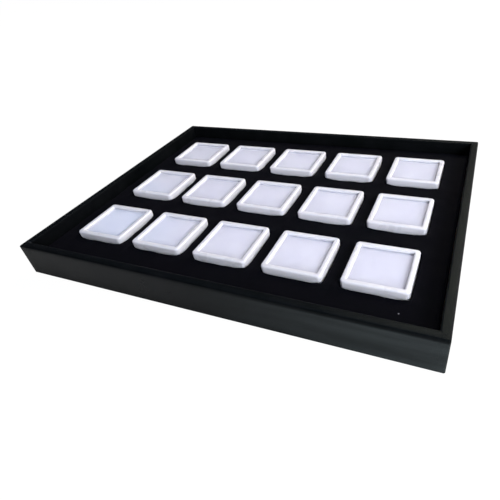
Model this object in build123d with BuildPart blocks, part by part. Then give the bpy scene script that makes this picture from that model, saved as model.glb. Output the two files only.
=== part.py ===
from build123d import *
import os

os.makedirs("parts", exist_ok=True)

# An open display tray with square gem boxes seated in wells of a velvet insert.
# Origin at the centre of the underside, X along the long side, Y from front to back, Z up.

# Layout of the gem boxes
columns = 5
rows = 3
gap_x = 13.4                 # between boxes along a row
gap_y = 26.4                 # between rows
margin_x = 21.2              # from the outer boxes to the side walls
margin_y = 29.6              # from the outer rows to the front and back walls

# Gem box
box_side = 48.0
cup_height = 13.8            # underside of the cup to the parting line
lid_height = 5.7             # parting line to the top of the lid
lid_corner = 3.0             # plan radius of the lid's corners
lid_overhang = 0.3           # how far the lid stands out over the cup, all round
cup_cut = 1.8                # corners cut off the cup
skirt_wall = 1.2
fit_cut = 1.2                # corners cut off the spigot, the pane and the inside of the skirt
lid_chamfer = 1.0            # round the lid's top
rim_width = 4.2              # white frame round the window
lip_thickness = 1.8
opening_chamfer = 0.35
pane_thickness = 1.2
pane_gap = 0.1               # pane to skirt, all round
spigot_gap = 0.15            # spigot to skirt, all round
spigot_head_gap = 0.2        # spigot to pane
spigot_wall = 1.1
cup_floor = 1.6
cavity_cut = 0.8             # corners cut off the cup's inside and the foam pad
foot_width = 3.0
foot_recess = 0.5
pad_gap = 0.2                # foam pad to the cup's walls
pad_seat_gap = 0.05          # foam pad to the cup's floor
pad_head_gap = 0.3           # foam pad to pane

# Tray walls, board rails wrapped in leatherette
leatherette = 0.8
rail_thickness = 5.4
rail_corner = 1.9            # plan radius of the frame's outer corners
rim_round = 1.3              # rounding of the rim's edges
bottom_chamfer = 0.4         # round the tray's lower edge
rim_over_velvet = 11.4
hem_width = 12.0             # leatherette turned under the tray

# Tray floor
board_thickness = 3.0
rabbet_width = 2.7           # how far the board reaches under the rails
board_gap = 0.1
bottom_cloth = 0.6
bottom_setback = 1.5         # edge of the bottom lining to the outer face
floor_cloth = 0.6
floor_cloth_gap = 0.1        # floor lining to the walls

# Insert
lid_gap = 0.2                # from the velvet up to the lids
velvet = 0.6
shoulder_round = 3.0         # rounding of the velvet's outer top edge
velvet_tuck = 8.0            # velvet turned down below the insert's top
insert_gap = 0.3             # insert to the walls
well_gap = 0.5               # gem box to the velvet in its well
well_chamfer = 0.5

# Brads of rectangular wire, with a T head
brad_length = 18.0
brad_width = 1.2
brad_thickness = 1.0
brad_head_width = 2.0
brad_head_thickness = 0.6
brad_point = 1.5
brad_gap = 0.05
brad_spacing = 13.0          # between the two brads of a corner

# Plan sizes
wall = leatherette + rail_thickness + leatherette
pitch_x = box_side + gap_x
pitch_y = box_side + gap_y
inner_length = columns * box_side + (columns - 1) * gap_x + 2 * margin_x
inner_depth = rows * box_side + (rows - 1) * gap_y + 2 * margin_y
tray_length = inner_length + 2 * wall
tray_depth = inner_depth + 2 * wall
frame_length = tray_length - 2 * leatherette
frame_depth = tray_depth - 2 * leatherette
frame_inner_length = frame_length - 2 * rail_thickness
frame_inner_depth = frame_depth - 2 * rail_thickness
mitre_reach = wall + hem_width

# Heights
board_z = bottom_cloth + leatherette
floor_z = board_z + board_thickness
box_z = floor_z + floor_cloth
parting_z = box_z + cup_height
velvet_top = parting_z - lid_gap
foam_top = velvet_top - velvet
rim_z = velvet_top + rim_over_velvet
rail_top = rim_z - leatherette
lid_top = parting_z + lid_height
pane_top = lid_top - lip_thickness
pane_z = pane_top - pane_thickness
spigot_top = pane_z - spigot_head_gap
cavity_z = box_z + cup_floor
pad_z = cavity_z + pad_seat_gap
pad_top = pane_z - pad_head_gap

# Fits of the gem box
cup_side = box_side - 2 * lid_overhang
lid_inner_side = box_side - 2 * skirt_wall
opening_side = box_side - 2 * rim_width
pane_side = lid_inner_side - 2 * pane_gap
spigot_side = lid_inner_side - 2 * spigot_gap
cavity_side = spigot_side - 2 * spigot_wall
pad_side = cavity_side - 2 * pad_gap

# Fits of the insert
well_side = box_side + 2 * well_gap
foam_well_side = well_side + 2 * velvet
velvet_length = inner_length - 2 * insert_gap
velvet_depth = inner_depth - 2 * insert_gap
foam_length = velvet_length - 2 * velvet
foam_depth = velvet_depth - 2 * velvet
velvet_z = velvet_top - velvet_tuck
foam_bevel = (shoulder_round - velvet) * (2 - 2**0.5)


def save(piece, name):
    piece.part.label = name
    export_step(piece.part, f"parts/{name}.step")


def top_face(piece):
    return piece.faces().sort_by(Axis.Z)[-1]


def inner_edges(face):
    return [edge for wire in face.inner_wires() for edge in wire.edges()]


def cut_square(side, cut):
    half = side / 2
    flat = half - cut
    Polygon(
        (half, flat),
        (flat, half),
        (-flat, half),
        (-half, flat),
        (-half, -flat),
        (-flat, -half),
        (flat, -half),
        (half, -flat),
    )


# Brads: driven from the side walls into the ends of the front and back rails
brad_x = frame_length / 2
brad_y = (frame_depth - rail_thickness) / 2
brad_middle = (floor_z + rail_top) / 2
brad_places = []
for brad_z in (brad_middle - brad_spacing / 2, brad_middle + brad_spacing / 2):
    for y in (-brad_y, brad_y):
        brad_places.append(Location((brad_x, y, brad_z), (0, -90, 0)))
        brad_places.append(Location((-brad_x, y, brad_z), (0, 90, 0)))

with BuildPart() as brad:
    with BuildSketch(Plane.XZ):
        with BuildLine():
            Polyline(
                (0, 0),
                (brad_head_width / 2, 0),
                (brad_head_width / 2, brad_head_thickness),
                (brad_width / 2, brad_head_thickness),
                (brad_width / 2, brad_length - brad_point),
                (0, brad_length),
            )
            mirror(about=Plane.YZ)
        make_face()
    extrude(amount=brad_thickness / 2, both=True)

with BuildPart() as brad_hole:
    with BuildSketch(Plane.XY):
        Rectangle(brad_head_width + 2 * brad_gap, brad_thickness + 2 * brad_gap)
    extrude(amount=brad_head_thickness + brad_gap)
    with BuildSketch(Plane.XY):
        Rectangle(brad_width + 2 * brad_gap, brad_thickness + 2 * brad_gap)
    extrude(amount=brad_length + brad_gap)

with BuildPart() as corner_brads:
    with Locations(*brad_places):
        add(brad.part)
save(corner_brads, "corner_brads")

# Frame core: the rails and the base board as one block
with BuildPart() as frame_core:
    with BuildSketch(Plane.XY.offset(board_z)):
        RectangleRounded(frame_length, frame_depth, rail_corner)
    extrude(amount=rail_top - board_z)
    with BuildSketch(Plane.XY.offset(floor_z)):
        Rectangle(frame_inner_length, frame_inner_depth)
    extrude(amount=rail_top - floor_z, mode=Mode.SUBTRACT)

# Rail ring: the core less the board's rabbet and the brad holes, before it is cut at the mitres
with BuildPart() as rail_ring:
    add(frame_core.part)
    with BuildSketch(Plane.XY.offset(board_z)):
        Rectangle(frame_inner_length + 2 * rabbet_width, frame_inner_depth + 2 * rabbet_width)
    extrude(amount=board_thickness, mode=Mode.SUBTRACT)
    with Locations(*brad_places):
        add(brad_hole.part, mode=Mode.SUBTRACT)

# Leatherette skin round the core, with its hem under the board, before it is cut at the mitres
with BuildPart() as tray_skin:
    with BuildSketch(Plane.XY.offset(bottom_cloth)):
        RectangleRounded(tray_length, tray_depth, rail_corner + leatherette)
    extrude(amount=rim_z - bottom_cloth)
    chamfer(tray_skin.faces().sort_by(Axis.Z)[0].edges(), bottom_chamfer)
    with BuildSketch(Plane.XY.offset(floor_z)):
        Rectangle(inner_length, inner_depth)
    extrude(amount=rim_z - floor_z, mode=Mode.SUBTRACT)
    fillet(top_face(tray_skin).edges(), rim_round)
    with BuildSketch(Plane.XY.offset(bottom_cloth)):
        Rectangle(tray_length - 2 * hem_width, tray_depth - 2 * hem_width)
    extrude(amount=leatherette, mode=Mode.SUBTRACT)
    add(frame_core.part, mode=Mode.SUBTRACT)

# Mitred sides: each takes its quarter of the rail ring and of the skin
sides = (
    ("front", 0, tray_length, tray_depth),
    ("right", 90, tray_depth, tray_length),
    ("back", 180, tray_length, tray_depth),
    ("left", 270, tray_depth, tray_length),
)
for side, turn, length, across in sides:
    with BuildSketch(Plane.XY.rotated((0, 0, turn))) as mitre:
        with BuildLine():
            Polyline(
                (-length / 2, -across / 2),
                (length / 2, -across / 2),
                (length / 2 - mitre_reach, mitre_reach - across / 2),
                (mitre_reach - length / 2, mitre_reach - across / 2),
                close=True,
            )
        make_face()
    with BuildPart() as rail:
        add(rail_ring.part)
        extrude(mitre.sketch, amount=rim_z, mode=Mode.INTERSECT)
    save(rail, f"{side}_rail")
    with BuildPart() as cover:
        add(tray_skin.part)
        extrude(mitre.sketch, amount=rim_z, mode=Mode.INTERSECT)
    save(cover, f"{side}_cover")

# Base board, in the rabbet of the rails
with BuildPart() as base_board:
    with BuildSketch(Plane.XY.offset(board_z)):
        Rectangle(
            frame_inner_length + 2 * (rabbet_width - board_gap),
            frame_inner_depth + 2 * (rabbet_width - board_gap),
        )
    extrude(amount=board_thickness)
save(base_board, "base_board")

# Bottom lining, glued over the hems
with BuildPart() as bottom_lining:
    with BuildSketch(Plane.XY):
        Rectangle(tray_length - 2 * bottom_setback, tray_depth - 2 * bottom_setback)
    extrude(amount=bottom_cloth)
save(bottom_lining, "bottom_lining")

# Floor lining, on the board inside the walls
with BuildPart() as floor_lining:
    with BuildSketch(Plane.XY.offset(floor_z)):
        Rectangle(inner_length - 2 * floor_cloth_gap, inner_depth - 2 * floor_cloth_gap)
    extrude(amount=floor_cloth)
save(floor_lining, "floor_lining")

# Insert: a foam block with a square well for each gem box
with BuildPart() as insert_foam:
    with BuildSketch(Plane.XY.offset(box_z)):
        Rectangle(foam_length, foam_depth)
        with GridLocations(pitch_x, pitch_y, columns, rows):
            Rectangle(foam_well_side, foam_well_side, mode=Mode.SUBTRACT)
    extrude(amount=foam_top - box_z)
    chamfer(top_face(insert_foam).outer_wire().edges(), foam_bevel)
save(insert_foam, "insert_foam")

# Velvet skin of the insert, tucked into the wells and down its outer edge
with BuildPart() as insert_velvet:
    with BuildSketch(Plane.XY.offset(velvet_z)):
        Rectangle(velvet_length, velvet_depth)
        with GridLocations(pitch_x, pitch_y, columns, rows):
            Rectangle(well_side, well_side, mode=Mode.SUBTRACT)
    extrude(amount=velvet_tuck)
    fillet(top_face(insert_velvet).outer_wire().edges(), shoulder_round)
    chamfer(inner_edges(top_face(insert_velvet)), well_chamfer)
    add(insert_foam.part, mode=Mode.SUBTRACT)
save(insert_velvet, "insert_velvet")

# Gem box cup: foot ring, floor, walls and a spigot for the lid
with BuildPart() as cup:
    with BuildSketch(Plane.XY.offset(box_z)):
        cut_square(cup_side, cup_cut)
    extrude(amount=cup_height)
    with BuildSketch(Plane.XY.offset(parting_z)):
        cut_square(spigot_side, fit_cut)
    extrude(amount=spigot_top - parting_z)
    with BuildSketch(Plane.XY.offset(cavity_z)):
        cut_square(cavity_side, cavity_cut)
    extrude(amount=spigot_top - cavity_z, mode=Mode.SUBTRACT)
    with BuildSketch(Plane.XY.offset(box_z)):
        Rectangle(cup_side - 2 * foot_width, cup_side - 2 * foot_width)
    extrude(amount=foot_recess, mode=Mode.SUBTRACT)

# Foam pad, on the floor of the cup
with BuildPart() as pad:
    with BuildSketch(Plane.XY.offset(pad_z)):
        cut_square(pad_side, cavity_cut)
    extrude(amount=pad_top - pad_z)

# Lid frame: skirt over the spigot, lip over the pane, bevelled top edge
with BuildPart() as lid:
    with BuildSketch(Plane.XY.offset(parting_z)):
        RectangleRounded(box_side, box_side, lid_corner)
    extrude(amount=lid_height)
    with BuildSketch(Plane.XY.offset(parting_z)):
        cut_square(lid_inner_side, fit_cut)
    extrude(amount=pane_top - parting_z, mode=Mode.SUBTRACT)
    with BuildSketch(Plane.XY.offset(pane_top)):
        Rectangle(opening_side, opening_side)
    extrude(amount=lip_thickness, mode=Mode.SUBTRACT)
    chamfer(top_face(lid).outer_wire().edges(), lid_chamfer)
    chamfer(inner_edges(top_face(lid)), opening_chamfer)

# Window pane, seated under the lip
with BuildPart() as window:
    with BuildSketch(Plane.XY.offset(pane_z)):
        cut_square(pane_side, fit_cut)
    extrude(amount=pane_thickness)

# Gem boxes, numbered along each row from the front left
number = 0
for row in range(rows):
    for column in range(columns):
        number += 1
        place = (
            (column - (columns - 1) / 2) * pitch_x,
            (row - (rows - 1) / 2) * pitch_y,
        )
        with BuildPart() as gem_cup:
            with Locations(place):
                add(cup.part)
                add(pad.part)
        save(gem_cup, f"gem_cup_{number:02d}")
        with BuildPart() as gem_lid:
            with Locations(place):
                add(lid.part)
        save(gem_lid, f"gem_lid_{number:02d}")
        with BuildPart() as gem_window:
            with Locations(place):
                add(window.part)
        save(gem_window, f"gem_window_{number:02d}")

print(f"tray {tray_length:.1f} x {tray_depth:.1f} x {rim_z:.1f} mm, {number} gem boxes")
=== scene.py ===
import math

import bmesh
import bpy
import numpy as np
from mathutils import Matrix, Vector


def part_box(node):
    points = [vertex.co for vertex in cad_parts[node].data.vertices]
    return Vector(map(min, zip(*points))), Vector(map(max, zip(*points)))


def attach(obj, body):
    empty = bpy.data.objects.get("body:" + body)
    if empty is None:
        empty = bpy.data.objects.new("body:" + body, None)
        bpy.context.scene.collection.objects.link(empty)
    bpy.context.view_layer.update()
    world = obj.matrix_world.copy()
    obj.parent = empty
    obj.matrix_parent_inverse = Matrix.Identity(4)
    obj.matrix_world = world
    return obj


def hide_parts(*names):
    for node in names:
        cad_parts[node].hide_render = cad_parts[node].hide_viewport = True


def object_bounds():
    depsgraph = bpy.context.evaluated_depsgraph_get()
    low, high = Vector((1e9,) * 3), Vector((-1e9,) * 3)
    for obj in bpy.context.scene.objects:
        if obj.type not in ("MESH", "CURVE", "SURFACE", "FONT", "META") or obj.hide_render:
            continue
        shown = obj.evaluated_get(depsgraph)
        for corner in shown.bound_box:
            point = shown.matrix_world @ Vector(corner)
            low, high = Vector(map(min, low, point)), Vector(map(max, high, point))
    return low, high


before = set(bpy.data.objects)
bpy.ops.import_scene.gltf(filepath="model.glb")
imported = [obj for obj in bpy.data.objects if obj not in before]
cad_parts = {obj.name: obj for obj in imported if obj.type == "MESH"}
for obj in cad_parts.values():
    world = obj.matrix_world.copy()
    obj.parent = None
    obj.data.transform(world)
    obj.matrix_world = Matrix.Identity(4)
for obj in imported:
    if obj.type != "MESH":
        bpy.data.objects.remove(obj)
cad_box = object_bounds()

MM = 0.001

# Layout, from the CAD's boxes
COLUMNS, ROWS = 5, 3
NUMBERS = [f"{n:02d}" for n in range(1, COLUMNS * ROWS + 1)]


def centre_of(node):
    low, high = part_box(node)
    return (low.x + high.x) / 2, (low.y + high.y) / 2


PLACES = {number: centre_of(f"gem_lid_{number}") for number in NUMBERS}
PITCH_X = PLACES[NUMBERS[1]][0] - PLACES[NUMBERS[0]][0]
PITCH_Y = PLACES[NUMBERS[COLUMNS]][1] - PLACES[NUMBERS[0]][1]

tray_low, tray_high = cad_box
TRAY_LENGTH = tray_high.x - tray_low.x
TRAY_DEPTH = tray_high.y - tray_low.y
RIM_Z = tray_high.z
velvet_low, velvet_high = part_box("insert_velvet")
foam_low, foam_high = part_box("insert_foam")
floor_low, floor_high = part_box("floor_lining")
under_low, under_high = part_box("bottom_lining")
cup_low, cup_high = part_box("gem_cup_01")
lid_low, lid_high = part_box("gem_lid_01")
pane_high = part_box("gem_window_01")[1]

# Sizes that the boxes don't give, as in the part's source
WALL = 7 * MM
HEM = 12 * MM
WELL = 49 * MM
VELVET = 0.6 * MM
SHOULDER = 3 * MM
RIM_WIDTH = 4.2 * MM
LIP = 1.8 * MM
SKIRT = 1.2 * MM
FLOOR_THICKNESS = 1.6 * MM
FOOT_WIDTH = 3 * MM
FOOT_RECESS = 0.5 * MM
SPIGOT_INSET = 1.05 * MM
SPIGOT_WALL = 1.1 * MM
PAD_GAP = 0.2 * MM

# Sizes of the dressed part alone: sharper tray corners, thin panes that rest under a deeper lip with the
# pads close below them, and the give of the soft pieces
LEATHERETTE = 0.75 * MM
TRAY_CORNER = 1.3 * MM
PANE_THICKNESS = 0.5 * MM
PANE_TUCK = 0.5 * MM
PANE_CORNER = 1.2 * MM
PANE_EDGE = 0.08 * MM
PAD_HEAD_GAP = 0.05 * MM
WELL_CORNER = 1.6 * MM
WELL_LIP = 1.1 * MM
FOAM_SIDE_TRIM = 1.5 * MM
FOAM_TOP_TRIM = 0.3 * MM

# Points closer than this are one point
WELD = 1e-6


# Node trees

SHAPE, MATERIAL, COLOUR = "NodeSocketGeometry", "NodeSocketMaterial", "NodeSocketColor"
NUMBER, VECTOR = "NodeSocketFloat", "NodeSocketVector"
SOCKET_OF = {bool: "NodeSocketBool", int: "NodeSocketInt", float: NUMBER, tuple: VECTOR}
PLACED = {"Place": (0, 0, 0), "Material": MATERIAL}

# Rounding of a moulded edge that looks sharp
SHARP = 0.1 * MM


def feed(tree, node, inputs):
    """Gives each of a node's inputs its value, or links it to a socket."""
    for name, value in inputs.items():
        if isinstance(value, bpy.types.NodeSocket):
            tree.links.new(value, node.inputs[name])
        else:
            node.inputs[name].default_value = value


def put(tree, kind, inputs=None, **settings):
    """A node with its settings and its inputs."""
    made = tree.nodes.new(kind)
    for name, value in settings.items():
        setattr(made, name, value)
    feed(tree, made, inputs or {})
    return made


def then(tree, shape, kind, inputs=None, **settings):
    """The shape after one more geometry node."""
    return put(tree, f"GeometryNode{kind}", {"Geometry": shape, **(inputs or {})}, **settings).outputs[0]


def use_group(tree, group, **inputs):
    """A group's outputs in another tree. An underscore stands for a space in an input's name."""
    kind = "GeometryNodeGroup" if group.bl_idname == "GeometryNodeTree" else "ShaderNodeGroup"
    made = put(tree, kind, node_tree=group)
    feed(tree, made, {name.replace("_", " "): value for name, value in inputs.items()})
    return made.outputs


def calc(tree, operation, *terms):
    """A Math node on sockets or numbers."""
    return put(tree, "ShaderNodeMath", dict(enumerate(terms)), operation=operation).outputs[0]


def plus(tree, a, b):
    return calc(tree, "ADD", a, b)


def less(tree, a, b):
    return calc(tree, "SUBTRACT", a, b)


def times(tree, first, *others):
    """The product of all terms."""
    product = first
    for term in others:
        product = calc(tree, "MULTIPLY", product, term)
    return product


def split(tree, vector):
    """A vector's parts, by X, Y and Z."""
    return put(tree, "ShaderNodeSeparateXYZ", {0: vector}).outputs


def measure(tree, operation, *vectors):
    """A number worked out from vectors, such as the distance between two."""
    return put(tree, "ShaderNodeVectorMath", dict(enumerate(vectors)), operation=operation).outputs["Value"]


def open_tree(name, inputs, outputs=(("Geometry", SHAPE),), kind="GeometryNodeTree"):
    """A tree, its group input and its group output. An input without a default is given by its type."""
    tree = bpy.data.node_groups.new(name, kind)
    for label, default in inputs.items():
        plain = isinstance(default, str)
        socket = tree.interface.new_socket(
            label, in_out="INPUT", socket_type=default if plain else SOCKET_OF[type(default)])
        if not plain:
            socket.default_value = default
    for label, socket_type in outputs:
        tree.interface.new_socket(label, in_out="OUTPUT", socket_type=socket_type)
    return tree, tree.nodes.new("NodeGroupInput").outputs, tree.nodes.new("NodeGroupOutput").inputs


def section(tree, corners, steps, closed):
    """A cross-section curve through (inset from the outer face, height, rounding) corners."""
    line = put(tree, "GeometryNodeMeshLine", {"Count": len(corners)})
    index = put(tree, "GeometryNodeInputIndex").outputs[0]
    spots = put(tree, "GeometryNodeIndexSwitch", {"Index": index}, data_type="VECTOR")
    rounds = put(tree, "GeometryNodeIndexSwitch", {"Index": index}, data_type="FLOAT")
    while len(spots.index_switch_items) < len(corners):
        spots.index_switch_items.new()
        rounds.index_switch_items.new()
    for number, (inset, height, rounding) in enumerate(corners):
        spot = put(tree, "ShaderNodeCombineXYZ", {"X": inset, "Z": height}).outputs[0]
        feed(tree, spots, {str(number): spot})
        feed(tree, rounds, {str(number): rounding})
    placed = then(tree, line.outputs[0], "SetPosition", {"Position": spots.outputs[0]})
    curve = put(tree, "GeometryNodeMeshToCurve", {"Mesh": placed}).outputs[0]
    if closed:
        curve = then(tree, curve, "SetSplineCyclic", {"Cyclic": True})
    return put(tree, "GeometryNodeFilletCurve", {
        "Curve": curve, "Count": steps, "Radius": rounds.outputs[0], "Limit Radius": True,
    }, mode="POLY").outputs[0]


def make_rings_tree():
    """Lofts a cross-section round a rectangle with rounded corners."""
    tree, given, result = open_tree("rounded_rings", {
        "Section": SHAPE, "Closed Section": False, "Length": 0.05, "Depth": 0.05, "Corner Radius": 0.003,
        "Least Radius": 0.0005, "Corner Steps": 6, "Straight Steps": 1,
    }, outputs=(("Geometry", SHAPE), ("Step", NUMBER)))
    count = then(tree, given["Section"], "AttributeDomainSize", component="CURVE")
    quarter = plus(tree, given["Corner Steps"], given["Straight Steps"])
    around = times(tree, quarter, 4)
    across = plus(tree, count, given["Closed Section"])
    grid = put(tree, "GeometryNodeMeshGrid", {
        "Size X": 1.0, "Size Y": 1.0, "Vertices X": plus(tree, around, 1), "Vertices Y": across})
    here = put(tree, "GeometryNodeInputPosition").outputs[0]
    place = split(tree, here)
    step = calc(tree, "ROUND", times(tree, plus(tree, place["X"], 0.5), around))
    ring = calc(tree, "ROUND", times(tree, plus(tree, place["Y"], 0.5), less(tree, across, 1)))
    ring = calc(tree, "FLOORED_MODULO", ring, count)
    drawn = split(tree, then(
        tree, given["Section"], "SampleIndex", {"Value": here, "Index": ring}, data_type="FLOAT_VECTOR",
        domain="POINT"))
    corner = calc(tree, "FLOOR", calc(tree, "DIVIDE", plus(tree, step, 0.5), quarter))
    within = less(tree, step, times(tree, corner, quarter))
    turned = calc(tree, "MINIMUM", calc(tree, "DIVIDE", within, given["Corner Steps"]), 1)
    past_corner = less(tree, within, given["Corner Steps"])
    along = calc(tree, "MAXIMUM", calc(tree, "DIVIDE", past_corner, given["Straight Steps"]), 0)
    right_angle = math.pi / 2
    angle = times(tree, plus(tree, corner, turned), right_angle)
    from_angle = times(tree, plus(tree, corner, 0.5), right_angle)
    to_angle = plus(tree, from_angle, right_angle)
    axes = []
    for wave, size in (("COSINE", given["Length"]), ("SINE", given["Depth"])):
        half = less(tree, times(tree, size, 0.5), drawn["X"])
        radius = less(tree, given["Corner Radius"], drawn["X"])
        radius = calc(tree, "MINIMUM", calc(tree, "MAXIMUM", radius, given["Least Radius"]), half)
        start = times(tree, calc(tree, wave, from_angle), math.sqrt(2))
        end = times(tree, calc(tree, wave, to_angle), math.sqrt(2))
        sign = plus(tree, start, times(tree, less(tree, end, start), along))
        middle = times(tree, sign, less(tree, half, radius))
        axes.append(plus(tree, middle, times(tree, calc(tree, wave, angle), radius)))
    spot = put(tree, "ShaderNodeCombineXYZ", {"X": axes[0], "Y": axes[1], "Z": drawn["Z"]}).outputs[0]
    kept = put(tree, "GeometryNodeCaptureAttribute", {"Geometry": grid.outputs[0]})
    kept.capture_items.new("FLOAT", "Step")
    feed(tree, kept, {"Step": step})
    tree.links.new(then(tree, kept.outputs[0], "SetPosition", {"Position": spot}), result["Geometry"])
    tree.links.new(kept.outputs["Step"], result["Step"])
    return tree


RINGS = make_rings_tree()


def weld(tree, shape):
    """Joins the points that lie on each other."""
    return then(tree, shape, "MergeByDistance", {"Distance": WELD})


def square_loft(tree, given, drawn, least_radius, corner_steps, straight_steps=1, closed=False):
    """The section swept round a square with the side and corner radius that the tree is given."""
    return use_group(
        tree, RINGS, Section=drawn, Closed_Section=closed, Length=given["Side"], Depth=given["Side"],
        Corner_Radius=given["Corner Radius"], Least_Radius=least_radius, Corner_Steps=corner_steps,
        Straight_Steps=straight_steps)["Geometry"]


def finish_tree(tree, shape, given, result, placed=True, smooth=True):
    """Welds the shape, moves it to its place and gives it its material."""
    shape = weld(tree, shape)
    if placed:
        shape = then(tree, shape, "Transform", {"Translation": given["Place"]})
    if smooth:
        shape = then(tree, shape, "SetShadeSmooth")
    shape = then(tree, shape, "RealizeInstances")
    tree.links.new(then(tree, shape, "SetMaterial", {"Material": given["Material"]}), result["Geometry"])


def ruffle(tree, shape, size, scale, seed):
    """Moves the surface in along its normals by a smooth noise, by up to size."""
    here = put(tree, "GeometryNodeInputPosition").outputs[0]
    drift = put(tree, "ShaderNodeTexNoise", {
        "Vector": here, "W": seed, "Scale": scale, "Detail": 1.0}, noise_dimensions="4D").outputs[0]
    inwards = times(tree, less(tree, drift, 1.0), size)
    normal = put(tree, "GeometryNodeInputNormal").outputs[0]
    offset = put(tree, "ShaderNodeVectorMath", {0: normal, "Scale": inwards}, operation="SCALE").outputs[0]
    return then(tree, shape, "SetPosition", {"Offset": offset})


def make_lid_tree():
    """Lid frame of a gem box: a skirt, and a lip round the window."""
    tree, given, result = open_tree("gem_lid", {
        "Side": 0.048, "Height": 0.0057, "Corner Radius": 0.003, "Rim Width": 0.0042, "Lip": 0.0023,
        "Skirt": 0.0012, "Edge Round": 0.0012, "Inner Round": 0.0011, "Lower Round": 0.0003, **PLACED,
    })
    ledge = less(tree, given["Height"], given["Lip"])
    drawn = section(tree, [
        (0.0, 0.0, given["Lower Round"]),
        (0.0, given["Height"], given["Edge Round"]),
        (given["Rim Width"], given["Height"], given["Inner Round"]),
        (given["Rim Width"], ledge, SHARP),
        (given["Skirt"], ledge, SHARP),
        (given["Skirt"], 0.0, given["Lower Round"]),
    ], steps=5, closed=True)
    shape = square_loft(tree, given, drawn, least_radius=0.0006, corner_steps=8, closed=True)
    finish_tree(tree, shape, given, result)
    return tree


def make_cup_tree():
    """Cup of a gem box: foot ring, floor, walls, and a spigot for the lid."""
    tree, given, result = open_tree("gem_cup", {
        "Side": 0.0474, "Height": 0.0138, "Spigot Top": 0.0163, "Corner Radius": 0.0028,
        "Spigot Inset": 0.00105, "Spigot Wall": 0.0011, "Floor": 0.0016, "Foot Width": 0.003,
        "Foot Recess": 0.0005, "Edge Round": 0.0004, "Spigot Round": 0.0003, "Floor Round": 0.0008, **PLACED,
    })
    middle = times(tree, given["Side"], 0.5)
    inside = plus(tree, given["Spigot Inset"], given["Spigot Wall"])
    drawn = section(tree, [
        (middle, given["Foot Recess"], 0.0),
        (given["Foot Width"], given["Foot Recess"], given["Edge Round"]),
        (given["Foot Width"], 0.0, given["Edge Round"]),
        (0.0, 0.0, given["Floor Round"]),
        (0.0, given["Height"], given["Edge Round"]),
        (given["Spigot Inset"], given["Height"], SHARP),
        (given["Spigot Inset"], given["Spigot Top"], given["Spigot Round"]),
        (inside, given["Spigot Top"], given["Spigot Round"]),
        (inside, given["Floor"], given["Floor Round"]),
        (middle, given["Floor"], 0.0),
    ], steps=4, closed=False)
    finish_tree(tree, square_loft(tree, given, drawn, least_radius=0.0008, corner_steps=6), given, result)
    return tree


def make_pad_tree():
    """Foam pad: a soft-edged block whose top is a little crowned and whose sides are a little drawn in."""
    tree, given, result = open_tree("gem_pad", {
        "Side": 0.0427, "Height": 0.0145, "Corner Radius": 0.0012, "Edge Round": 0.0004, "Crown": 0.0001,
        "Drawn In": 0.0003, "Foot Inset": 0.0002, "Foot Round": 0.0006, "Soft Round": 0.004,
        "Unevenness": 0.00012, "Seed": 0.0, **PLACED,
    })
    middle = times(tree, given["Side"], 0.5)
    shoulder = less(tree, given["Height"], given["Crown"])
    drawn = section(tree, [
        (middle, 0.0, 0.0),
        (given["Foot Inset"], 0.0, given["Foot Round"]),
        (given["Drawn In"], times(tree, given["Height"], 0.5), given["Soft Round"]),
        (0.0, shoulder, given["Edge Round"]),
        (times(tree, middle, 0.35), given["Height"], given["Soft Round"]),
        (middle, given["Height"], 0.0),
    ], steps=5, closed=False)
    drawn = put(tree, "GeometryNodeSubdivideCurve", {"Curve": drawn, "Cuts": 1}).outputs[0]
    shape = square_loft(tree, given, drawn, least_radius=0.0008, corner_steps=4, straight_steps=8)
    shape = ruffle(tree, weld(tree, shape), given["Unevenness"], 180.0, given["Seed"])
    finish_tree(tree, shape, given, result)
    return tree


def make_wrap_tree():
    """Leatherette over one mitred side: from its hem, up the outside, over the rim and down the inside."""
    tree, given, result = open_tree("leatherette_wrap", {
        "Length": 0.35, "Depth": 0.27, "Height": 0.03, "Wall": 0.007, "Hem": 0.012, "Hem Height": 0.0006,
        "Bead": 0.0011, "Lowest": 0.00015, "Foot Round": 0.0006, "Bead Round": 0.0004,
        "Inside Height": 0.0044, "Corner Radius": 0.0013, "Outer Round": 0.0015, "Inner Round": 0.0012,
        "Unevenness": 0.0001, "Seed": 0.0, "Side": 0, "Material": MATERIAL,
    })
    drawn = section(tree, [
        (given["Hem"], given["Hem Height"], 0.0),
        (times(tree, given["Bead"], 1.3), given["Hem Height"], given["Bead Round"]),
        (given["Bead"], given["Lowest"], given["Bead Round"]),
        (0.0, given["Lowest"], given["Foot Round"]),
        (0.0, given["Height"], given["Outer Round"]),
        (given["Wall"], given["Height"], given["Inner Round"]),
        (given["Wall"], given["Inside Height"], 0.0),
    ], steps=5, closed=False)
    drawn = put(tree, "GeometryNodeSubdivideCurve", {"Curve": drawn, "Cuts": 1}).outputs[0]
    corner_steps, straight_steps = 8, 48
    made = use_group(
        tree, RINGS, Section=drawn, Length=given["Length"], Depth=given["Depth"],
        Corner_Radius=given["Corner Radius"], Least_Radius=0.0003, Corner_Steps=corner_steps,
        Straight_Steps=straight_steps)
    shape = ruffle(tree, made["Geometry"], given["Unevenness"], 55.0, given["Seed"])
    quarter = corner_steps + straight_steps
    turn = calc(tree, "FLOORED_MODULO", less(tree, made["Step"], corner_steps / 2), 4.0 * quarter)
    sector = calc(tree, "FLOOR", calc(tree, "DIVIDE", turn, quarter))
    other = calc(tree, "GREATER_THAN", calc(tree, "ABSOLUTE", less(tree, sector, given["Side"])), 0.5)
    shape = then(tree, shape, "DeleteGeometry", {"Selection": other}, domain="FACE")
    finish_tree(tree, shape, given, result, placed=False)
    return tree


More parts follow.
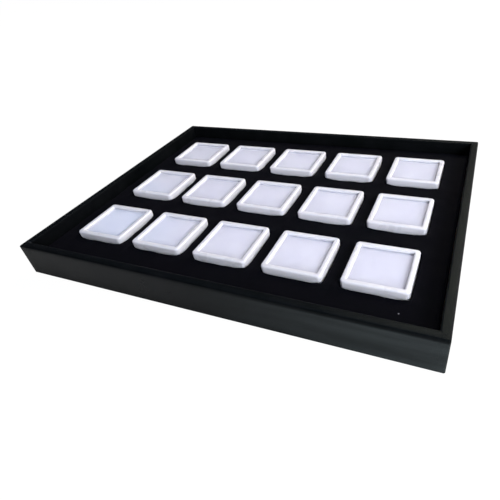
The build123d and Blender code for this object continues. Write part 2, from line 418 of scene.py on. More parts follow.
def make_foam_tree():
    """Foam block with its rows of square wells cut right through."""
    tree, given, result = open_tree("foam_block", {
        "Size": (0.334, 0.254, 0.013), "Well": 0.0502, "Cutter Height": 0.1, "Pitch X": 0.0614,
        "Pitch Y": 0.0744, "Columns": 5, "Rows": 3, **PLACED,
    })
    block = put(tree, "GeometryNodeMeshCube", {"Size": given["Size"]}).outputs[0]
    spots = put(tree, "GeometryNodeMeshGrid", {
        "Size X": times(tree, given["Pitch X"], less(tree, given["Columns"], 1)),
        "Size Y": times(tree, given["Pitch Y"], less(tree, given["Rows"], 1)),
        "Vertices X": given["Columns"], "Vertices Y": given["Rows"]}).outputs[0]
    cutter_size = put(tree, "ShaderNodeCombineXYZ", {
        "X": given["Well"], "Y": given["Well"], "Z": given["Cutter Height"]}).outputs[0]
    cutter = put(tree, "GeometryNodeMeshCube", {"Size": cutter_size}).outputs[0]
    cutters = put(tree, "GeometryNodeInstanceOnPoints", {"Points": spots, "Instance": cutter}).outputs[0]
    cutters = then(tree, cutters, "RealizeInstances")
    cut = put(
        tree, "GeometryNodeMeshBoolean", {"Mesh 1": block, "Mesh 2": cutters}, operation="DIFFERENCE",
        solver="EXACT").outputs[0]
    finish_tree(tree, cut, given, result, smooth=False)
    return tree


def link_object(name, data):
    made = bpy.data.objects.new(name, data)
    bpy.context.scene.collection.objects.link(made)
    return made


def object_from(name, mesh, material):
    """An object with the faces of a bmesh, which is freed."""
    data = bpy.data.meshes.new(name)
    mesh.to_mesh(data)
    mesh.free()
    data.materials.append(material)
    return link_object(name, data)


def grow(name, tree, values, even_shading=False):
    """Runs a geometry tree with its inputs set, and returns an object with the plain mesh."""
    made = link_object(name, bpy.data.meshes.new(name))
    shape = made.modifiers.new("shape", "NODES")
    shape.node_group = tree
    identifiers = {s.name: s.identifier for s in tree.interface.items_tree if s.in_out == "INPUT"}
    for label, value in values.items():
        shape[identifiers[label]] = value
    if even_shading:
        made.modifiers.new("even_shading", "WEIGHTED_NORMAL").weight = 100
    depsgraph = bpy.context.evaluated_depsgraph_get()
    mesh = bpy.data.meshes.new_from_object(made.evaluated_get(depsgraph), depsgraph=depsgraph)
    made.modifiers.clear()
    made.data = mesh
    mesh.name = name
    return made


def thicken(piece, thickness):
    """Gives a cloth its thickness, inwards from its modelled face."""
    made = piece.modifiers.new("thickness", "SOLIDIFY")
    made.thickness = thickness
    made.offset = -1
    return made


# Materials

def open_material(name):
    """A material with a Principled shader, the place on the piece as a socket, and its output node."""
    material = bpy.data.materials.new(name)
    material.use_nodes = True
    tree = material.node_tree
    tree.nodes.clear()
    shader = put(tree, "ShaderNodeBsdfPrincipled")
    out = put(tree, "ShaderNodeOutputMaterial", {"Surface": shader.outputs[0]})
    place = put(tree, "ShaderNodeTexCoord").outputs["Object"]
    return material, tree, shader, place, out


def rgb(red, green, blue):
    return red, green, blue, 1


def mix_colours(tree, share, first, second):
    return put(tree, "ShaderNodeMix", {0: share, 6: first, 7: second}, data_type="RGBA").outputs[2]


def tint(tree, base, mask, share, colour):
    """Mixes a colour into the base where the mask is on, by up to a share."""
    return mix_colours(tree, times(tree, mask, share), base, colour)


def spread(tree, value, from_low, from_high, to_low=0.0, to_high=1.0):
    """Maps one range onto another, and holds the ends."""
    return put(tree, "ShaderNodeMapRange", {
        "Value": value, "From Min": from_low, "From Max": from_high, "To Min": to_low, "To Max": to_high,
    }).outputs[0]


def noise(tree, place, scale, detail, **others):
    inputs = {"Vector": place, "Scale": scale, "Detail": detail, **others}
    return put(tree, "ShaderNodeTexNoise", inputs).outputs[0]


def stretched(tree, place, scale, centre=(0, 0, 0)):
    """The place, scaled along each axis about a centre."""
    shift = [-s * c for s, c in zip(scale, centre)]
    return put(tree, "ShaderNodeMapping", {"Vector": place, "Scale": scale, "Location": shift}).outputs[0]


def bump(tree, shader, height, strength, distance):
    """Fine relief from a height, up to a distance in metres."""
    made = put(tree, "ShaderNodeBump", {"Height": height, "Strength": strength, "Distance": distance})
    feed(tree, shader, {"Normal": made.outputs[0]})


def make_mottle_group():
    """Soft cloudy change of tone between two colours."""
    tree, given, result = open_tree("mottle", {
        "Place": VECTOR, "Colour": COLOUR, "Other Colour": COLOUR, "Scale": 40.0, "Detail": 3.0,
    }, (("Colour", COLOUR), ("Mask", NUMBER)), "ShaderNodeTree")
    cloud = noise(tree, given["Place"], given["Scale"], given["Detail"], Roughness=0.6)
    mask = spread(tree, cloud, 0.3, 0.7)
    tree.links.new(mix_colours(tree, mask, given["Colour"], given["Other Colour"]), result["Colour"])
    tree.links.new(mask, result["Mask"])
    return tree


def cell_edges(tree, place, scale):
    """Distance to the nearest edge between cells."""
    return put(
        tree, "ShaderNodeTexVoronoi", {"Vector": place, "Scale": scale},
        feature="DISTANCE_TO_EDGE").outputs["Distance"]


def make_pores_group():
    """Fine cells of a foam or pebbles of a grain: a height, and a mask of the hollows."""
    tree, given, result = open_tree("pores", {
        "Place": VECTOR, "Scale": 1500.0, "Wobble": 0.35,
    }, (("Height", NUMBER), ("Hollow", NUMBER)), "ShaderNodeTree")
    drift = noise(tree, given["Place"], times(tree, given["Scale"], 0.3), 1.0)
    big = cell_edges(tree, given["Place"], given["Scale"])
    small = cell_edges(tree, given["Place"], times(tree, given["Scale"], 2.3))
    height = spread(tree, big, 0.0, 0.25)
    height = plus(tree, height, times(tree, spread(tree, small, 0.0, 0.25), 0.4))
    height = plus(tree, height, times(tree, drift, given["Wobble"]))
    tree.links.new(height, result["Height"])
    tree.links.new(spread(tree, big, 0.0, 0.12, 1.0, 0.0), result["Hollow"])
    return tree


def make_dust_group():
    """Sparse specks of lint and dust."""
    tree, given, result = open_tree("dust", {
        "Place": VECTOR, "Scale": 60.0, "Speck": 0.02, "Share": 0.2,
    }, (("Mask", NUMBER),), "ShaderNodeTree")
    cells = put(tree, "ShaderNodeTexVoronoi", {"Vector": given["Place"], "Scale": given["Scale"]})
    near = spread(tree, calc(tree, "DIVIDE", cells.outputs["Distance"], given["Speck"]), 0.6, 1.0, 1.0, 0.0)
    pick = put(tree, "ShaderNodeSeparateColor", {0: cells.outputs["Color"]}).outputs[0]
    tree.links.new(times(tree, near, calc(tree, "LESS_THAN", pick, given["Share"])), result["Mask"])
    return tree


def make_weave_group():
    """Plain weave of a thin cloth."""
    tree, given, result = open_tree("weave", {
        "Place": VECTOR, "Threads": 1600.0,
    }, (("Height", NUMBER), ("Gap", NUMBER)), "ShaderNodeTree")
    parts = split(tree, given["Place"])
    turn = times(tree, given["Threads"], math.pi)
    warp = calc(tree, "SINE", times(tree, parts["X"], turn))
    weft = calc(tree, "SINE", times(tree, parts["Y"], turn))
    over = times(tree, warp, weft)
    crossing = calc(tree, "ABSOLUTE", over)
    tree.links.new(plus(tree, crossing, times(tree, over, 0.4)), result["Height"])
    tree.links.new(spread(tree, crossing, 0.0, 0.25, 1.0, 0.0), result["Gap"])
    return tree


MOTTLE = make_mottle_group()
PORES = make_pores_group()
DUST = make_dust_group()
WEAVE = make_weave_group()


def mottled(tree, place, colour, other, scale, detail):
    return use_group(tree, MOTTLE, Place=place, Colour=colour, Other_Colour=other, Scale=scale, Detail=detail)


def dusty(tree, place, scale, speck, share):
    return use_group(tree, DUST, Place=place, Scale=scale, Speck=speck, Share=share)["Mask"]


# Where the leatherette's look changes, in metres: each pair runs from one end of the change to the other
# The next three place painted light on the front face: it grows to the right and stops just under the rim,
# leaving a darker band there
PAINTED_LIGHT_X = (0.0, 0.175)
FRONT_FACE_Y = (-0.1330, -0.1348)
UNDER_RIM_Z = (0.0262, 0.0280)
# The next four place painted shade in the front face's reflection: weaker towards the foot, the left end and
# a line just under the rim
REFLECTION_SHADE_Z = (0.003, 0.024)
REFLECTION_SHADE_X = (-0.175, 0.0)
RIM_LINE_Z = 0.0282
RIM_LINE_REACH = (0.0004, 0.0018)
SEAM_REACH = (0.0, 0.0004)
CORNER_REACH = (-0.013, -0.002)
# The next three place a painted highlight on a crease at the front left corner of the rim
FOLD_SPOT = (-0.1700, -0.1281, 0.0300)
FOLD_SQUEEZE = (1.0, 4.0, 2.0)
FOLD_REACH = (0.0012, 0.0034)


def rubbed_haze(tree, place, parts):
    """Painted light in streaks on the front face, which grows to the right and ends under the rim."""
    streaks = noise(tree, stretched(tree, place, (9.0, 120.0, 120.0)), 1.0, 3.0)
    return times(
        tree, spread(tree, streaks, 0.3, 0.7, 0.5, 1.3), spread(tree, parts["X"], *PAINTED_LIGHT_X),
        spread(tree, parts["Y"], *FRONT_FACE_Y), spread(tree, parts["Z"], *UNDER_RIM_Z, 1.0, 0.0))


def fold_mark(tree, place, creases):
    """A painted highlight on a small crease on the rim at the front left corner."""
    away = measure(tree, "LENGTH", stretched(tree, place, FOLD_SQUEEZE, FOLD_SPOT))
    return times(
        tree, spread(tree, away, *FOLD_REACH, 1.0, 0.0), spread(tree, creases, 0.35, 0.60, 0.2, 1.0))


def polish(tree, parts):
    """Painted shade in the reflection: the specular level falls off towards the tray's foot, its left end and
    the line just under the rim.
    """
    off_line = calc(tree, "ABSOLUTE", less(tree, parts["Z"], RIM_LINE_Z))
    return times(
        tree, spread(tree, parts["Z"], *REFLECTION_SHADE_Z, 0.012, 0.050),
        spread(tree, off_line, *RIM_LINE_REACH, 0.6, 1.0), spread(tree, parts["X"], *REFLECTION_SHADE_X, 0.55, 1.0))


def make_leatherette():
    """Black, fine-grained and satin, with creases near the tray's corners and dark seams along the mitres."""
    material, tree, shader, place, _ = open_material("leatherette")
    blotch = mottled(tree, place, rgb(0.0020, 0.0022, 0.0029), rgb(0.0018, 0.0030, 0.0026), 9.0, 2.0)
    cloudy = mottled(tree, place, blotch["Colour"], rgb(0.0046, 0.0052, 0.0058), 38.0, 4.0)
    grain = use_group(tree, PORES, Place=place, Scale=1150.0, Wobble=0.5)
    parts = split(tree, place)
    over_x = less(tree, calc(tree, "ABSOLUTE", parts["X"]), TRAY_LENGTH / 2)
    over_y = less(tree, calc(tree, "ABSOLUTE", parts["Y"]), TRAY_DEPTH / 2)
    from_mitre = calc(tree, "ABSOLUTE", less(tree, over_x, over_y))
    seam = spread(tree, from_mitre, *SEAM_REACH, 1.0, 0.0)
    near_corner = spread(tree, calc(tree, "MINIMUM", over_x, over_y), *CORNER_REACH)
    creases = noise(tree, place, 330.0, 2.0, Distortion=1.2)
    folds = times(tree, creases, near_corner, 9.0)
    base = tint(tree, cloudy["Colour"], grain["Hollow"], 0.35, rgb(0.0006, 0.0006, 0.0006))
    base = tint(tree, base, seam, 0.7, rgb(0.0004, 0.0004, 0.0004))
    base = tint(tree, base, dusty(tree, place, 55.0, 0.018, 0.12), 0.35, rgb(0.08, 0.08, 0.08))
    # Painted light on the front face, in streaks, lighter towards the right
    base = tint(tree, base, rubbed_haze(tree, place, parts), 0.33, rgb(0.062, 0.073, 0.070))
    # Painted highlight on a crease at the front left corner
    base = tint(tree, base, fold_mark(tree, place, creases), 0.7, rgb(0.07, 0.075, 0.08))
    rough = plus(
        tree, spread(tree, cloudy["Mask"], 0.0, 1.0, 0.27, 0.37),
        spread(tree, blotch["Mask"], 0.0, 1.0, -0.02, 0.05))
    # The specular level carries painted shade in the reflection
    feed(tree, shader, {
        "Base Color": base, "Roughness": rough, "Specular IOR Level": polish(tree, parts),
        "Specular Tint": rgb(0.79, 0.94, 1.0)})
    height = less(tree, plus(tree, grain["Height"], folds), times(tree, seam, 2.0))
    bump(tree, shader, height, 0.35, 0.00012)
    return material


def make_velvet():
    """Black pile with a cool cast, a few specks, and one bit of lint at the front right."""
    material, tree, shader, place, _ = open_material("velvet_pile")
    blotch = mottled(tree, place, rgb(0.0018, 0.0014, 0.0034), rgb(0.0011, 0.0020, 0.0036), 14.0, 2.0)
    cloudy = mottled(tree, place, blotch["Colour"], rgb(0.0030, 0.0029, 0.0052), 55.0, 5.0)
    pile = noise(tree, place, 2600.0, 2.0)
    lint_spot, lint_reach = (0.1422, -0.1119, 0.0186), (0.0004, 0.0007)
    lint = spread(tree, measure(tree, "DISTANCE", place, lint_spot), *lint_reach, 1.6, 0.0)
    specks = calc(tree, "MAXIMUM", dusty(tree, place, 34.0, 0.012, 0.10), lint)
    hollows = spread(tree, pile, 0.35, 0.65, 0.0, 0.6)
    base = mix_colours(tree, hollows, cloudy["Colour"], rgb(0.0007, 0.0007, 0.0010))
    base = tint(tree, base, specks, 0.6, rgb(0.25, 0.25, 0.27))
    feed(tree, shader, {
        "Base Color": base, "Roughness": spread(tree, cloudy["Mask"], 0.0, 1.0, 0.88, 1.0),
        "Specular IOR Level": 0.05, "Sheen Weight": 0.008, "Sheen Roughness": 0.45,
        "Sheen Tint": rgb(0.55, 0.52, 0.75)})
    brushed = noise(tree, place, 160.0, 3.0)
    bump(tree, shader, plus(tree, pile, times(tree, brushed, 0.8)), 0.6, 0.0002)
    return material


def make_white_plastic():
    """Glossy white moulding that lets a little light in."""
    material, tree, shader, place, _ = open_material("white_plastic")
    tone = mottled(tree, place, rgb(0.712, 0.704, 0.732), rgb(0.742, 0.734, 0.762), 70.0, 2.0)
    base = tint(tree, tone["Colour"], dusty(tree, place, 90.0, 0.014, 0.05), 0.3, rgb(0.3, 0.3, 0.32))
    feed(tree, shader, {
        "Base Color": base, "Roughness": spread(tree, tone["Mask"], 0.0, 1.0, 0.26, 0.34),
        "Subsurface Weight": 1.0, "Subsurface Radius": (1.0, 0.97, 0.94), "Subsurface Scale": 0.0022})
    bump(tree, shader, noise(tree, place, 420.0, 2.0), 0.08, 0.0001)
    return material


def make_pane_glass():
    """Clear pane that lets the lamps' light straight through to the pad."""
    material, tree, shader, place, out = open_material("pane_glass")
    tone = mottled(tree, place, rgb(0.93, 0.94, 0.98), rgb(0.96, 0.97, 0.99), 30.0, 2.0)
    feed(tree, shader, {
        "Base Color": tone["Colour"], "Roughness": 0.03, "IOR": 1.40, "Transmission Weight": 1.0})
    clear = put(tree, "ShaderNodeBsdfTransparent", {"Color": rgb(0.95, 0.96, 0.98)}).outputs[0]
    lamp = put(tree, "ShaderNodeLightPath").outputs["Is Shadow Ray"]
    mixed = put(tree, "ShaderNodeMixShader", {0: lamp, 1: shader.outputs[0], 2: clear}).outputs[0]
    feed(tree, out, {"Surface": mixed})
    return material


def make_foam(name, colour, other, scale, depth, glow_through):
    """Fine-celled foam between two tones, with the depth of its cells and how far light gets in."""
    material, tree, shader, place, _ = open_material(name)
    tone = mottled(tree, place, rgb(*colour), rgb(*other), 60.0, 3.0)
    cells = use_group(tree, PORES, Place=place, Scale=scale, Wobble=0.3)
    base = tint(tree, tone["Colour"], cells["Hollow"], 0.30, rgb(*(0.72 * c for c in colour)))
    feed(tree, shader, {
        "Base Color": base, "Roughness": spread(tree, tone["Mask"], 0.0, 1.0, 0.85, 0.98),
        "Specular IOR Level": 0.25, "Subsurface Weight": glow_through, "Subsurface Radius": (1.0, 1.0, 1.0),
        "Subsurface Scale": 0.0018})
    bump(tree, shader, cells["Height"], depth, 0.0001)
    return material


def make_lining_cloth():
    """Thin black woven cloth with some dust."""
    material, tree, shader, place, _ = open_material("lining_cloth")
    tone = mottled(tree, place, rgb(0.012, 0.012, 0.014), rgb(0.022, 0.022, 0.025), 30.0, 4.0)
    cloth = use_group(tree, WEAVE, Place=place, Threads=1300.0)
    base = tint(tree, tone["Colour"], cloth["Gap"], 0.5, rgb(0.004, 0.004, 0.005))
    base = tint(tree, base, dusty(tree, place, 45.0, 0.016, 0.15), 0.5, rgb(0.2, 0.2, 0.2))
    feed(tree, shader, {
        "Base Color": base, "Roughness": spread(tree, tone["Mask"], 0.0, 1.0, 0.8, 0.95),
        "Specular IOR Level": 0.2})
    bump(tree, shader, cloth["Height"], 0.4, 0.0001)
    return material


def make_fibreboard():
    """Raw brown board with short strands."""
    material, tree, shader, place, _ = open_material("fibreboard")
    tone = mottled(tree, place, rgb(0.36, 0.24, 0.14), rgb(0.48, 0.34, 0.21), 90.0, 6.0)
    strands = noise(tree, stretched(tree, place, (300.0, 2200.0, 2600.0)), 1.0, 3.0)
    dark = spread(tree, strands, 0.45, 0.75, 0.0, 0.6)
    feed(tree, shader, {
        "Base Color": mix_colours(tree, dark, tone["Colour"], rgb(0.20, 0.13, 0.08)),
        "Roughness": spread(tree, strands, 0.2, 0.8, 0.7, 0.9)})
    bump(tree, shader, strands, 0.3, 0.0001)
    return material


def make_brad_wire():
    """Bare wire with the fine lines of its drawing."""
    material, tree, shader, place, _ = open_material("brad_wire")
    tone = mottled(tree, place, rgb(0.42, 0.42, 0.41), rgb(0.60, 0.60, 0.58), 400.0, 4.0)
    lines = noise(tree, stretched(tree, place, (200.0, 6000.0, 6000.0)), 1.0, 2.0)
    feed(tree, shader, {
        "Base Color": tone["Colour"], "Roughness": spread(tree, lines, 0.2, 0.8, 0.25, 0.5), "Metallic": 1.0})
    bump(tree, shader, lines, 0.2, 0.00005)
    return material


leatherette = make_leatherette()
velvet_pile = make_velvet()
white_plastic = make_white_plastic()
pane_glass = make_pane_glass()
pad_foam = make_foam("pad_foam", (0.59, 0.57, 0.62), (0.62, 0.60, 0.65), 2600.0, 0.15, 1.0)
black_foam = make_foam("black_foam", (0.020, 0.020, 0.024), (0.032, 0.032, 0.036), 1500.0, 0.5, 0.0)
lining_cloth = make_lining_cloth()
fibreboard = make_fibreboard()
brad_wire = make_brad_wire()


# Gem boxes

def ease(mesh, edges, size, segments):
    """Bevels edges, evenly to both sides."""
    bmesh.ops.bevel(mesh, geom=edges, offset=size, segments=segments, affect="EDGES", profile=0.5)


def clear_pane(name, low, high):
    """A thin clear pane with its corners rounded and its edges eased."""
    mesh = bmesh.new()
    bmesh.ops.create_cube(mesh, size=1.0)
    for v in mesh.verts:
        v.co = Vector(lo + (hi - lo) * (c + 0.5) for lo, hi, c in zip(low, high, v.co))
    ease(mesh, [e for e in mesh.edges if abs(e.verts[0].co.z - e.verts[1].co.z) > WELD], PANE_CORNER, 5)
    ease(mesh, [e for e in mesh.edges if abs(e.verts[0].co.z - e.verts[1].co.z) < WELD], PANE_EDGE, 1)
    bmesh.ops.recalc_face_normals(mesh, faces=mesh.faces)
    return object_from(name, mesh, pane_glass)


lid_tree, cup_tree, pad_tree = make_lid_tree(), make_cup_tree(), make_pad_tree()
lid_side = lid_high.x - lid_low.x
cup_side = cup_high.x - cup_low.x
cup_height = lid_low.z - cup_low.z
pad_side = cup_side - 2 * (SPIGOT_INSET + SPIGOT_WALL + PAD_GAP)
pad_height = pane_high.z - PANE_THICKNESS - PAD_HEAD_GAP - cup_low.z - FLOOR_THICKNESS

for number, (x, y) in PLACES.items():
    cup = grow(f"cup_{number}", cup_tree, {
        "Side": cup_side, "Height": cup_height, "Spigot Top": cup_high.z - cup_low.z,
        "Spigot Inset": SPIGOT_INSET, "Spigot Wall": SPIGOT_WALL, "Floor": FLOOR_THICKNESS,
        "Foot Width": FOOT_WIDTH, "Foot Recess": FOOT_RECESS, "Place": (x, y, cup_low.z),
        "Material": white_plastic,
    }, even_shading=True)
    pad = grow(f"pad_{number}", pad_tree, {
        "Side": pad_side, "Height": pad_height, "Seed": float(int(number)),
        "Place": (x, y, cup_low.z + FLOOR_THICKNESS), "Material": pad_foam,
    })
    lid = grow(f"lid_frame_{number}", lid_tree, {
        "Side": lid_side, "Height": lid_high.z - lid_low.z, "Rim Width": RIM_WIDTH,
        "Lip": LIP + PANE_THICKNESS, "Skirt": SKIRT, "Place": (x, y, lid_low.z), "Material": white_plastic,
    }, even_shading=True)
    for piece, body, node in (
        (cup, f"gem_box_{number}", f"gem_cup_{number}"),
        (pad, f"gem_box_{number}", f"gem_cup_{number}"),
        (lid, f"lid_{number}", f"gem_lid_{number}"),
    ):
        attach(piece, body)
        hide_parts(node)
    pane_from, pane_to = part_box(f"gem_window_{number}")
    tucked = (pane_to.x - pane_from.x) / 2 - lid_side / 2 + RIM_WIDTH - PANE_TUCK
    pane = clear_pane(
        f"pane_{number}", (pane_from.x + tucked, pane_from.y + tucked, pane_to.z - PANE_THICKNESS),
        (pane_to.x - tucked, pane_to.y - tucked, pane_to.z))
    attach(pane, f"lid_{number}")
    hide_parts(f"gem_window_{number}")


# Leatherette over the four sides

wrap_tree = make_wrap_tree()
for side, (name, length) in enumerate((
    ("back", TRAY_LENGTH), ("left", TRAY_DEPTH), ("front", TRAY_LENGTH), ("right", TRAY_DEPTH),
)):
    wrap = grow(f"{name}_wrap", wrap_tree, {
        "Length": TRAY_LENGTH, "Depth": TRAY_DEPTH, "Height": RIM_Z, "Wall": WALL, "Hem": HEM,
        "Hem Height": under_high.z, "Inside Height": floor_low.z, "Corner Radius": TRAY_CORNER, "Side": side,
        "Seed": float(side), "Material": leatherette,
    })
    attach(wrap, "tray")
    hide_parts(f"{name}_cover")
    thicken(wrap, LEATHERETTE).use_even_offset = True


# Velvet skin of the insert

PER_SIDE, PER_CORNER = 18, 8
STRAIGHT_PART = 4.5 * MM
WELL_CORNER_RISE, WELL_CORNER_REACH = 1.2 * MM, 6 * MM
WELL_EDGE_RISE, WELL_EDGE_REACH = 0.25 * MM, 4 * MM
WAVE_RISE, TURN = 0.1 * MM, 6.28
WAVES = [(0.031, 0.017, 0.9), (0.047, -0.029, 2.1), (-0.019, 0.053, 4.4), (0.083, 0.071, 1.3)]


def well_ring(out):
    """Points round a well, out from its edge, as (x, y) from its centre."""
    half, radius = WELL / 2 + out, WELL_CORNER + out
    signs = ((1, 1), (-1, 1), (-1, -1), (1, -1))
    points = []
    for quarter in range(4):
        (sx, sy), (nx, ny) = signs[quarter], signs[(quarter + 1) % 4]
        for step in range(PER_CORNER):
            angle = (quarter + step / PER_CORNER) * math.pi / 2
            points.append((
                sx * (half - radius) + math.cos(angle) * radius,
                sy * (half - radius) + math.sin(angle) * radius))
        angle = (quarter + 1) * math.pi / 2
        for step in range(PER_SIDE):
            along = step / PER_SIDE
            points.append((
                (sx + (nx - sx) * along) * (half - radius) + math.cos(angle) * radius,
                (sy + (ny - sy) * along) * (half - radius) + math.sin(angle) * radius))
    return np.array(points)


def between(start, end, share):
    return start[0] + (end[0] - start[0]) * share, start[1] + (end[1] - start[1]) * share


def cell_edge(low_x, high_x, low_y, high_y):
    """Points round a cell's rectangle, one for each point of a well's ring."""
    corners = [(high_x, high_y), (low_x, high_y), (low_x, low_y), (high_x, low_y)]
    whole, half = PER_SIDE + PER_CORNER, PER_CORNER // 2
    points = []
    for quarter in range(4):
        before, here, after = corners[quarter - 1], corners[quarter], corners[(quarter + 1) % 4]
        points += [between(here, before, (half - step) / whole) for step in range(half)]
        points += [between(here, after, step / whole) for step in range(whole - half)]
    return np.array(points)


def cell_span(index, count, pitch, edge):
    """Centre, low end and high end of a column or a row. The outer ones run out to the skin's edge."""
    centre = (index - (count - 1) / 2) * pitch
    low = -edge if index == 0 else centre - pitch / 2
    high = edge if index == count - 1 else centre + pitch / 2
    return centre, low, high


def skin_rings():
    """Each ring round a well: out from its edge, height, and share of the way to the cell's outline."""
    top, bottom = velvet_high.z, velvet_low.z
    made = [(0.0, z, 0.0) for z in (bottom, bottom + 2 * MM, bottom + 4 * MM, top - WELL_LIP - 1 * MM)]
    for step in range(6):
        angle = step / 5 * math.pi / 2
        made.append((WELL_LIP * (1 - math.cos(angle)), top - WELL_LIP * (1 - math.sin(angle)), 0.0))
    made += [(out * MM, top, 0.0) for out in (1.8, 2.7, 3.8)]
    made += [(4.6 * MM, top, share) for share in (0.2, 0.45, 0.7, 1.0)]
    return made


def velvet_rise(ring, centre):
    """How far the skin stands up: at the wells' corners, a little along their edges, and in slow waves."""
    off_edge = np.abs(ring - centre) - WELL / 2
    from_corner, from_edge = np.hypot(*off_edge.T), np.abs(off_edge).max(axis=1)
    rise = WELL_CORNER_RISE * np.exp(-((from_corner / WELL_CORNER_REACH) ** 2))
    rise += WELL_EDGE_RISE * np.exp(-((from_edge / WELL_EDGE_REACH) ** 2))
    for length_x, length_y, phase in WAVES:
        rise += WAVE_RISE * np.sin(ring[:, 0] / length_x * TURN + ring[:, 1] / length_y * TURN + phase)
    return rise


def add_cell(mesh, centre, outline):
    """A well's walls and the skin round it, out to the cell's outline."""
    loops = []
    for out, z, share in skin_rings():
        ring = (centre + well_ring(out)) * (1 - share) + outline * share
        above = z > velvet_low.z + STRAIGHT_PART
        rise = velvet_rise(ring, centre) if above else np.zeros(len(ring))
        loops.append([mesh.verts.new((px, py, z + dz)) for (px, py), dz in zip(ring, rise)])
    for inner, outer in zip(loops, loops[1:]):
        for i in range(len(inner)):
            j = (i + 1) % len(inner)
            mesh.faces.new((inner[i], outer[i], outer[j], inner[j]))


def fold_down(mesh, edge_x, edge_y):
    """Turns the skin's outer edge over the foam's shoulder and straight down to its foot."""
    arc_steps, straight_steps = 6, 2
    edges = [e for e in mesh.edges if e.is_boundary and all(
        abs(abs(v.co.x) - edge_x) < WELD or abs(abs(v.co.y) - edge_y) < WELD for v in e.verts)]
    for step in range(1, arc_steps + straight_steps + 1):
        grown = bmesh.ops.extrude_edge_only(mesh, edges=edges)["geom"]
        edges = [g for g in grown if isinstance(g, bmesh.types.BMEdge)]
        if step <= arc_steps:
            before, after = (step - 1) / arc_steps * math.pi / 2, step / arc_steps * math.pi / 2
            out = SHOULDER * (math.sin(after) - math.sin(before))
            down = SHOULDER * (math.cos(before) - math.cos(after))
        else:
            out, down = 0.0, (velvet_high.z - SHOULDER - velvet_low.z) / straight_steps
        for v in (g for g in grown if isinstance(g, bmesh.types.BMVert)):
            if abs(v.co.x) > edge_x - WELD:
                v.co.x += math.copysign(out, v.co.x)
            if abs(v.co.y) > edge_y - WELD:
                v.co.y += math.copysign(out, v.co.y)
            v.co.z -= down


def velvet_skin():
    """One skin over the whole insert: the wells' walls, the field between them and the outer shoulder."""
    edge_x, edge_y = velvet_high.x - SHOULDER, velvet_high.y - SHOULDER
    mesh = bmesh.new()
    for column in range(COLUMNS):
        x, low_x, high_x = cell_span(column, COLUMNS, PITCH_X, edge_x)
        for row in range(ROWS):
            y, low_y, high_y = cell_span(row, ROWS, PITCH_Y, edge_y)
            add_cell(mesh, np.array([x, y]), cell_edge(low_x, high_x, low_y, high_y))
    bmesh.ops.remove_doubles(mesh, verts=mesh.verts, dist=WELD)
    fold_down(mesh, edge_x, edge_y)
    bmesh.ops.recalc_face_normals(mesh, faces=mesh.faces)
    if sum(f.normal.z for f in mesh.faces) < 0:
        bmesh.ops.reverse_faces(mesh, faces=mesh.faces)
    for face in mesh.faces:
        face.smooth = True
    return object_from("velvet_skin", mesh, velvet_pile)


velvet = velvet_skin()
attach(velvet, "tray")
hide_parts("insert_velvet")


# Foam under the velvet

foam_size = foam_high - foam_low
foam = grow("foam_block", make_foam_tree(), {
    "Size": (foam_size.x - 2 * FOAM_SIDE_TRIM, foam_size.y - 2 * FOAM_SIDE_TRIM, foam_size.z - FOAM_TOP_TRIM),
    "Well": WELL + 2 * VELVET, "Pitch X": PITCH_X, "Pitch Y": PITCH_Y, "Columns": COLUMNS, "Rows": ROWS,
    "Place": (0, 0, (foam_low.z + foam_high.z - FOAM_TOP_TRIM) / 2), "Material": black_foam,
})
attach(foam, "tray")
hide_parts("insert_foam")


# Linings

# Share of its space that a cloth fills, and how its top waves: how deep, and how fast along X and Y
LINING_SHARE = 0.8
LINING_DIP = 0.02 * MM
LINING_WAVE_X, LINING_WAVE_Y = 90, 70


def lining(name, low, high):
    """A thin cloth that lies a little unevenly, at most as thick as the space it has."""
    mesh = bmesh.new()
    bmesh.ops.create_grid(mesh, x_segments=88, y_segments=68, size=0.5)
    for v in mesh.verts:
        v.co.x *= high.x - low.x
        v.co.y *= high.y - low.y
        wave = math.sin(v.co.x * LINING_WAVE_X) * math.sin(v.co.y * LINING_WAVE_Y)
        v.co.z = high.z - LINING_DIP * (1 + wave)
    for face in mesh.faces:
        face.smooth = True
    made = object_from(name, mesh, lining_cloth)
    thicken(made, (high.z - low.z) * LINING_SHARE)
    return made


for name, node, low, high in (
    ("floor_cloth", "floor_lining", floor_low, floor_high),
    ("under_cloth", "bottom_lining", under_low, under_high),
):
    cloth = lining(name, low, high)
    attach(cloth, "tray")
    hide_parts(node)


# Boards and brads

for node, material in (
    ("base_board", fibreboard), ("front_rail", fibreboard), ("back_rail", fibreboard),
    ("left_rail", fibreboard), ("right_rail", fibreboard), ("corner_brads", brad_wire),
):
    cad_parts[node].data.materials.clear()
    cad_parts[node].data.materials.append(material)


# Floor, light and camera

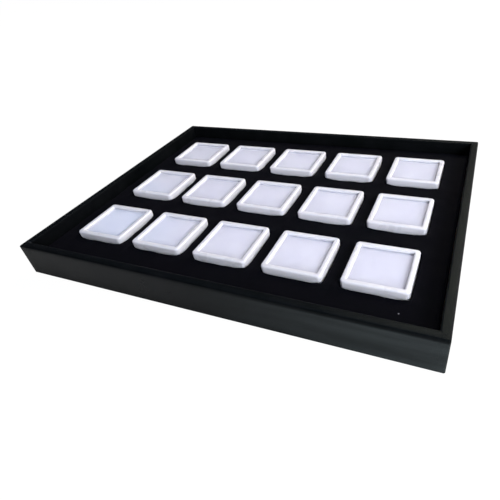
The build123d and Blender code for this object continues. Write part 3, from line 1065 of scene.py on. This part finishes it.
def make_floor():
    """A flat floor that glows white where it is seen or mirrored, and is plain and pale to other light."""
    half, drop = 6.0, 0.1 * MM
    mesh = bpy.data.meshes.new("studio_floor")
    corners = [(x * half, y * half, -drop) for x, y in ((-1, -1), (1, -1), (1, 1), (-1, 1))]
    mesh.from_pydata(corners, [], [(0, 1, 2, 3)])
    floor = link_object("studio_floor", mesh)
    material, tree, shader, place, out = open_material("pale_floor")
    feed(tree, shader, {
        "Base Color": rgb(0.92, 0.92, 0.92), "Roughness": 0.9, "Specular IOR Level": 0.1})
    strength = spread(tree, measure(tree, "LENGTH", place), 0.25, 1.6, 0.97, 1.0)
    glow = put(tree, "ShaderNodeEmission", {"Strength": strength}).outputs[0]
    lit = put(tree, "ShaderNodeBsdfDiffuse", {"Color": rgb(0.06, 0.06, 0.055)}).outputs[0]
    seen = put(tree, "ShaderNodeAddShader", {0: glow, 1: lit}).outputs[0]
    ray = put(tree, "ShaderNodeLightPath").outputs
    looked_at = calc(tree, "MAXIMUM", ray["Is Camera Ray"], ray["Is Glossy Ray"])
    looked_at = calc(tree, "MAXIMUM", looked_at, ray["Is Transmission Ray"])
    mixed = put(tree, "ShaderNodeMixShader", {0: looked_at, 1: shader.outputs[0], 2: seen}).outputs[0]
    feed(tree, out, {"Surface": mixed})
    mesh.materials.append(material)


def direction_to(azimuth, elevation):
    """The unit vector to a spot in the sky, from angles in radians that start at +X."""
    level = math.cos(elevation)
    return Vector((math.cos(azimuth) * level, math.sin(azimuth) * level, math.sin(elevation)))


def make_surroundings():
    """A dim studio with a white band round its horizon and a soft patch of window light at the back left."""
    world = bpy.data.worlds.new("studio")
    bpy.context.scene.world = world
    world.use_nodes = True
    tree = world.node_tree
    direction = put(tree, "ShaderNodeTexCoord").outputs["Generated"]
    band = spread(tree, split(tree, direction)["Z"], 0.02, 0.10, 1.0, 0.0)
    colour = mix_colours(tree, band, rgb(0.022, 0.024, 0.032), rgb(0.92, 0.95, 1.0))
    window, (edge, core) = direction_to(math.radians(141.5), math.radians(28.5)), (8, 2.5)
    facing = measure(tree, "DOT_PRODUCT", direction, window)
    patch = spread(tree, facing, math.cos(math.radians(edge)), math.cos(math.radians(core)))
    colour = mix_colours(tree, patch, colour, rgb(0.06, 0.30, 0.55))
    feed(tree, tree.nodes["Background"], {"Color": colour, "Strength": 1.0})


def softbox(name, spot, aim, size, power, colour):
    """A rectangular lamp at a spot, turned to its aim, with its size in metres and its power in watts."""
    light = bpy.data.lights.new(name, "AREA")
    light.shape = "RECTANGLE"
    light.size, light.size_y = size
    light.energy = power
    light.color = colour
    made = link_object(name, light)
    made.location = spot
    made.rotation_euler = (Vector(aim) - Vector(spot)).to_track_quat("-Z", "Y").to_euler()
    made.visible_transmission = False


# The photograph's camera. Its azimuth starts at the front, and its view axis meets the picture off centre.
AZIMUTH, ELEVATION, ROLL = (math.radians(degrees) for degrees in (26.699, 37.459, -7.435))
TARGET = Vector((0.040752, -0.045952, 0))
DISTANCE = 0.354952
PICTURE_PX = 500
FOCAL_PX = 409.789
AXIS_X_PX, AXIS_Y_PX = 293.5, 250.3
SENSOR_MM = 36


def make_camera():
    """Looks at the target from its distance, turned about the view axis by the roll."""
    back = direction_to(AZIMUTH - math.pi / 2, ELEVATION)
    right = (-back).cross(Vector((0, 0, 1))).normalized()
    down = (-back).cross(right)
    c, s = math.cos(ROLL), math.sin(ROLL)
    rolled_right, rolled_down = right * c - down * s, right * s + down * c
    camera = bpy.data.cameras.new("photo_camera")
    made = link_object("photo_camera", camera)
    turn = Matrix((rolled_right, -rolled_down, back)).transposed()
    made.matrix_world = Matrix.Translation(TARGET + back * DISTANCE) @ turn.to_4x4()
    camera.sensor_width = SENSOR_MM
    camera.lens = FOCAL_PX / PICTURE_PX * SENSOR_MM
    camera.shift_x = (PICTURE_PX / 2 - AXIS_X_PX) / PICTURE_PX
    camera.shift_y = (AXIS_Y_PX - PICTURE_PX / 2) / PICTURE_PX
    camera.clip_start, camera.clip_end = 0.01, 50
    bpy.context.scene.camera = made


make_floor()
make_surroundings()
for name, spot, aim, size, power, colour in (
    ("key_light", (1.02, -0.65, 0.76), (0, 0, 0), (0.5, 0.5), 12.4, (0.84, 0.892, 0.955)),
    ("side_light", (0.74, 0.55, 0.32), (0, 0.03, 0), (0.45, 0.35), 2.7, (1.0, 0.88, 0.94)),
    ("ceiling_light", (-0.20, 0.20, 1.40), (0, 0.03, 0), (0.8, 0.8), 5.5, (0.46, 0.54, 0.88)),
    ("front_light", (0.62, -0.62, 0.29), (0.06, 0, 0.02), (0.30, 0.30), 2.9, (0.90, 0.94, 1.0)),
    ("low_light", (0.72, -0.88, 0.22), (0.05, 0.03, 0.02), (0.35, 0.25), 4.1, (0.82, 0.80, 1.0)),
    ("back_light", (0.34, 0.76, 0.92), (0.12, 0, 0.03), (0.50, 0.50), 10.5, (1.0, 0.95, 0.80)),
):
    softbox(name, spot, aim, size, power, colour)
make_camera()
bpy.context.scene.view_settings.view_transform = "Standard"
